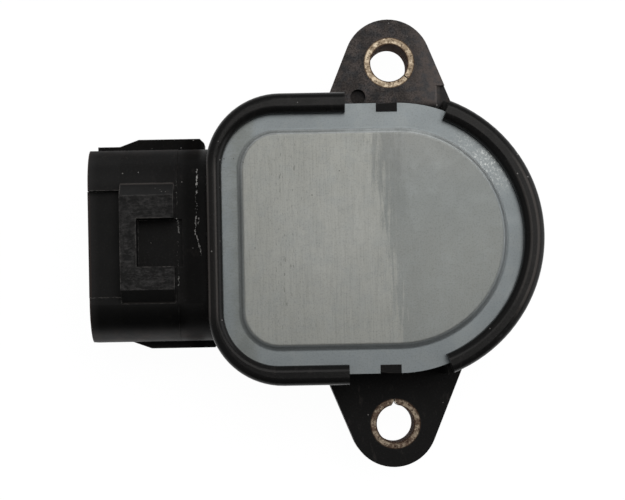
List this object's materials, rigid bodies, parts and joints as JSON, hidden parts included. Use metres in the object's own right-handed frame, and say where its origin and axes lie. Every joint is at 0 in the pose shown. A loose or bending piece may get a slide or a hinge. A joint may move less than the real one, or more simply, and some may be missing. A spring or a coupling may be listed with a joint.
{
  "type": "throttle position sensor",
  "caption": "Rotary position sensor for a throttle shaft: black moulded body with a stamped metal cover, screw ears with split bushes and a hooded blade connector.",
  "frame": {"origin": "on the rotor's axis, in the plane of the mounting face, midway between the two screw holes", "axes": "+Z along the rotor's axis towards the cover, -X towards the connector's mouth, +Y and -Y towards the two ears"},
  "size_m": [0.0604, 0.062, 0.022],
  "materials": {
    "black_plastic": "moulded, semi-matt, lightly scuffed on the ears",
    "zinc_plate": "stamped sheet, zinc plated, fine vertical brush lines on the raised panel",
    "gasket_rubber": "matt",
    "bush_steel": "yellow-passivated rolled steel, rough sheared faces",
    "terminal_metal": "tinned brass, smooth",
    "board_ceramic": "matt",
    "track_ink": "printed carbon, satin",
    "solder": "bright fillets",
    "rotor_plastic": "moulded, natural colour",
    "bearing_metal": "sintered bronze",
    "spring_steel": "drawn wire and strip",
    "brush_metal": "thin spring leaf",
    "seal_rubber": "matt"
  },
  "bodies": {
    "sensor_body": {"housing": "black_plastic", "cover_plate": "zinc_plate", "cover_gasket": "gasket_rubber", "upper_ear_bush": "bush_steel", "lower_ear_bush": "bush_steel", "terminal_supply": "terminal_metal", "terminal_signal": "terminal_metal", "terminal_idle": "terminal_metal", "terminal_ground": "terminal_metal", "resistor_board": "board_ceramic", "resistor_tracks": "track_ink", "solder_joints": "solder", "rotor_bearing": "bearing_metal", "return_spring": "spring_steel", "thrust_washer": "spring_steel", "shaft_seal": "seal_rubber", "mounting_seal": "seal_rubber"},
    "rotor_group": {"rotor": "rotor_plastic", "rotor_drive_clip": "spring_steel", "signal_brush": "brush_metal", "idle_brush": "brush_metal", "retaining_ring": "spring_steel"}
  },
  "joints": [
    {"name": "rotor_turn", "type": "hinge", "parent": "sensor_body", "child": "rotor_group", "pos_m": [0, 0, 0], "axis": [0, 0, 1], "range_deg": [0, 100], "stiffness_Nm_per_rad": 0.004, "springref_deg": -34.38, "deforming": ["return_spring"]}
  ]
}
